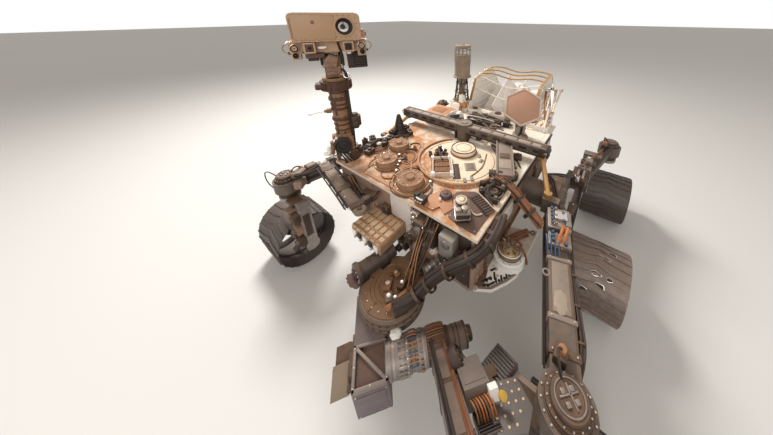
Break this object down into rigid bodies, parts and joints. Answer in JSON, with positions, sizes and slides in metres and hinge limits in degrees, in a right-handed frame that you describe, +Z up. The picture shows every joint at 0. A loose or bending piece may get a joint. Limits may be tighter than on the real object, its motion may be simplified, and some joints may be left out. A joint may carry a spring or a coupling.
{
  "type": "mars rover",
  "caption": "Six-wheeled planetary rover with rocker-bogie legs, camera mast, jointed tool arm, hexagonal antenna and finned tail generator.",
  "frame": {"origin": "on the ground, below the middle of the whole outline", "axes": "+X forward, +Y to port, +Z up"},
  "size_m": [3.652, 2.7596, 2.2188],
  "materials": {
    "body_paint": "satin, dusty",
    "deck_paint": "satin, dusty",
    "bare_metal": "machined, dusty",
    "grey_tube": "matt, dusty",
    "gold_coated": "satin",
    "drive_housing": "matt, dusty",
    "mast_paint": "matt, dusty",
    "generator_paint": "satin",
    "exchanger_face": "satin",
    "antenna_grey": "matt",
    "antenna_white": "satin",
    "camera_black": "matt",
    "head_paint": "satin, dusty",
    "dish_face": "matt, dusty",
    "arm_metal": "anodised, dusty",
    "tool_metal": "anodised",
    "wheel_metal": "machined, worn"
  },
  "bodies": {
    "chassis": {"body": "body_paint", "deck": "deck_paint", "belly_pan": "bare_metal", "inlet_funnels": "deck_paint", "differential_beam": "grey_tube", "differential_links": "gold_coated", "rocker_l": "grey_tube", "rocker_r": "grey_tube", "bogie_l": "grey_tube", "bogie_r": "grey_tube", "steering_drives": "drive_housing", "mast_foot": "drive_housing", "mast_tube": "mast_paint", "generator": "generator_paint", "generator_fins": "generator_paint", "exchanger_plates": "exchanger_face", "tail_frame": "bare_metal", "dish_post": "bare_metal", "relay_antenna": "antenna_grey", "low_antenna": "antenna_white", "deck_box": "body_paint", "hazard_cameras": "camera_black", "front_rail": "grey_tube", "front_boxes": "body_paint", "side_shelf": "bare_metal", "side_drum": "antenna_white", "arm_base": "arm_metal"},
    "inlet_cover_front": {"inlet_cover_front": "deck_paint"},
    "inlet_cover_left": {"inlet_cover_left": "deck_paint"},
    "inlet_cover_right": {"inlet_cover_right": "deck_paint"},
    "mast_neck": {"mast_neck": "mast_paint"},
    "mast_head": {"head_bar": "head_paint", "head_box": "head_paint"},
    "dish_yoke": {"dish_yoke": "bare_metal"},
    "dish_plate": {"dish_plate": "dish_face"},
    "knuckle_front_l": {"knuckle_front_l": "bare_metal"},
    "knuckle_front_r": {"knuckle_front_r": "bare_metal"},
    "knuckle_rear_l": {"knuckle_rear_l": "bare_metal"},
    "knuckle_rear_r": {"knuckle_rear_r": "bare_metal"},
    "wheel_front_l": {"wheel_front_l": "wheel_metal"},
    "wheel_front_r": {"wheel_front_r": "wheel_metal"},
    "wheel_middle_l": {"wheel_middle_l": "wheel_metal"},
    "wheel_middle_r": {"wheel_middle_r": "wheel_metal"},
    "wheel_rear_l": {"wheel_rear_l": "wheel_metal"},
    "wheel_rear_r": {"wheel_rear_r": "wheel_metal"},
    "arm_shoulder": {"arm_shoulder": "arm_metal"},
    "arm_upper": {"arm_upper": "arm_metal"},
    "arm_fore": {"arm_fore": "arm_metal"},
    "wrist": {"wrist": "bare_metal"},
    "turret": {"turret_hub": "arm_metal", "drill": "tool_metal", "sample_box": "tool_metal", "contact_sensor": "tool_metal", "brush": "tool_metal", "hand_camera": "camera_black"}
  },
  "joints": [
    {"name": "steer_front_l", "type": "hinge", "parent": "chassis", "child": "knuckle_front_l", "pos_m": [0.774, 1.05, 0.7], "axis": [0, 0, 1], "range_deg": [-95, 95]},
    {"name": "steer_front_r", "type": "hinge", "parent": "chassis", "child": "knuckle_front_r", "pos_m": [0.774, -1.11, 0.7], "axis": [0, 0, 1], "range_deg": [-95, 95]},
    {"name": "steer_rear_l", "type": "hinge", "parent": "chassis", "child": "knuckle_rear_l", "pos_m": [-1.426, 1.05, 0.7], "axis": [0, 0, 1], "range_deg": [-95, 95]},
    {"name": "steer_rear_r", "type": "hinge", "parent": "chassis", "child": "knuckle_rear_r", "pos_m": [-1.426, -1.11, 0.7], "axis": [0, 0, 1], "range_deg": [-95, 95]},
    {"name": "spin_front_l", "type": "hinge", "parent": "knuckle_front_l", "child": "wheel_front_l", "pos_m": [0.774, 1.12, 0.25], "axis": [0, 1, 0], "continuous": true},
    {"name": "spin_front_r", "type": "hinge", "parent": "knuckle_front_r", "child": "wheel_front_r", "pos_m": [0.774, -1.18, 0.25], "axis": [0, 1, 0], "continuous": true},
    {"name": "spin_middle_l", "type": "hinge", "parent": "chassis", "child": "wheel_middle_l", "pos_m": [-0.326, 1.12, 0.25], "axis": [0, 1, 0], "continuous": true},
    {"name": "spin_middle_r", "type": "hinge", "parent": "chassis", "child": "wheel_middle_r", "pos_m": [-0.326, -1.18, 0.25], "axis": [0, 1, 0], "continuous": true},
    {"name": "spin_rear_l", "type": "hinge", "parent": "knuckle_rear_l", "child": "wheel_rear_l", "pos_m": [-1.426, 1.12, 0.25], "axis": [0, 1, 0], "continuous": true},
    {"name": "spin_rear_r", "type": "hinge", "parent": "knuckle_rear_r", "child": "wheel_rear_r", "pos_m": [-1.426, -1.18, 0.25], "axis": [0, 1, 0], "continuous": true},
    {"name": "cover_front_hinge", "type": "hinge", "parent": "chassis", "child": "inlet_cover_front", "pos_m": [0.449, -0.081, 1.1443], "axis": [1, 0, 0], "range_deg": [0, 100]},
    {"name": "cover_left_hinge", "type": "hinge", "parent": "chassis", "child": "inlet_cover_left", "pos_m": [0.384, -0.366, 1.1443], "axis": [1, 0, 0], "range_deg": [0, 100]},
    {"name": "cover_right_hinge", "type": "hinge", "parent": "chassis", "child": "inlet_cover_right", "pos_m": [0.174, -0.456, 1.1443], "axis": [1, 0, 0], "range_deg": [0, 100]},
    {"name": "mast_pan", "type": "hinge", "parent": "chassis", "child": "mast_neck", "pos_m": [0.474, -0.62, 1.7], "axis": [0, 0, 1], "range_deg": [-240, 120]},
    {"name": "mast_tilt", "type": "hinge", "parent": "mast_neck", "child": "mast_head", "pos_m": [0.474, -0.62, 1.84], "axis": [-0.866, 0.5, 0], "range_deg": [-91, 87]},
    {"name": "dish_turn", "type": "hinge", "parent": "chassis", "child": "dish_yoke", "pos_m": [-0.606, 0.35, 1.24], "axis": [0, 0, 1], "range_deg": [-170, 170]},
    {"name": "dish_lift", "type": "hinge", "parent": "dish_yoke", "child": "dish_plate", "pos_m": [-0.606, 0.35, 1.35], "axis": [-0.309, 0.9511, 0], "range_deg": [-55, 35]},
    {"name": "arm_azimuth", "type": "hinge", "parent": "chassis", "child": "arm_shoulder", "pos_m": [0.794, 0.17, 0.5998], "axis": [0, 0, 1], "range_deg": [-125, 40]},
    {"name": "arm_lift", "type": "hinge", "parent": "arm_shoulder", "child": "arm_upper", "pos_m": [0.84774, 0.46459, 0.575], "axis": [0.7738, -0.6334, 0], "range_deg": [-50, 28]},
    {"name": "arm_elbow", "type": "hinge", "parent": "arm_upper", "child": "arm_fore", "pos_m": [1.33453, 1.05933, 1.1334], "axis": [-0.7738, 0.6334, 0], "range_deg": [-10, 90]},
    {"name": "arm_wrist", "type": "hinge", "parent": "arm_fore", "child": "wrist", "pos_m": [1.56208, 1.07367, 1.95486], "axis": [-0.7738, 0.6334, 0], "range_deg": [-60, 80]},
    {"name": "turret_turn", "type": "hinge", "parent": "wrist", "child": "turret", "pos_m": [1.56208, 1.07367, 2.03886], "axis": [0, 0, 1], "range_deg": [-170, 170]}
  ]
}
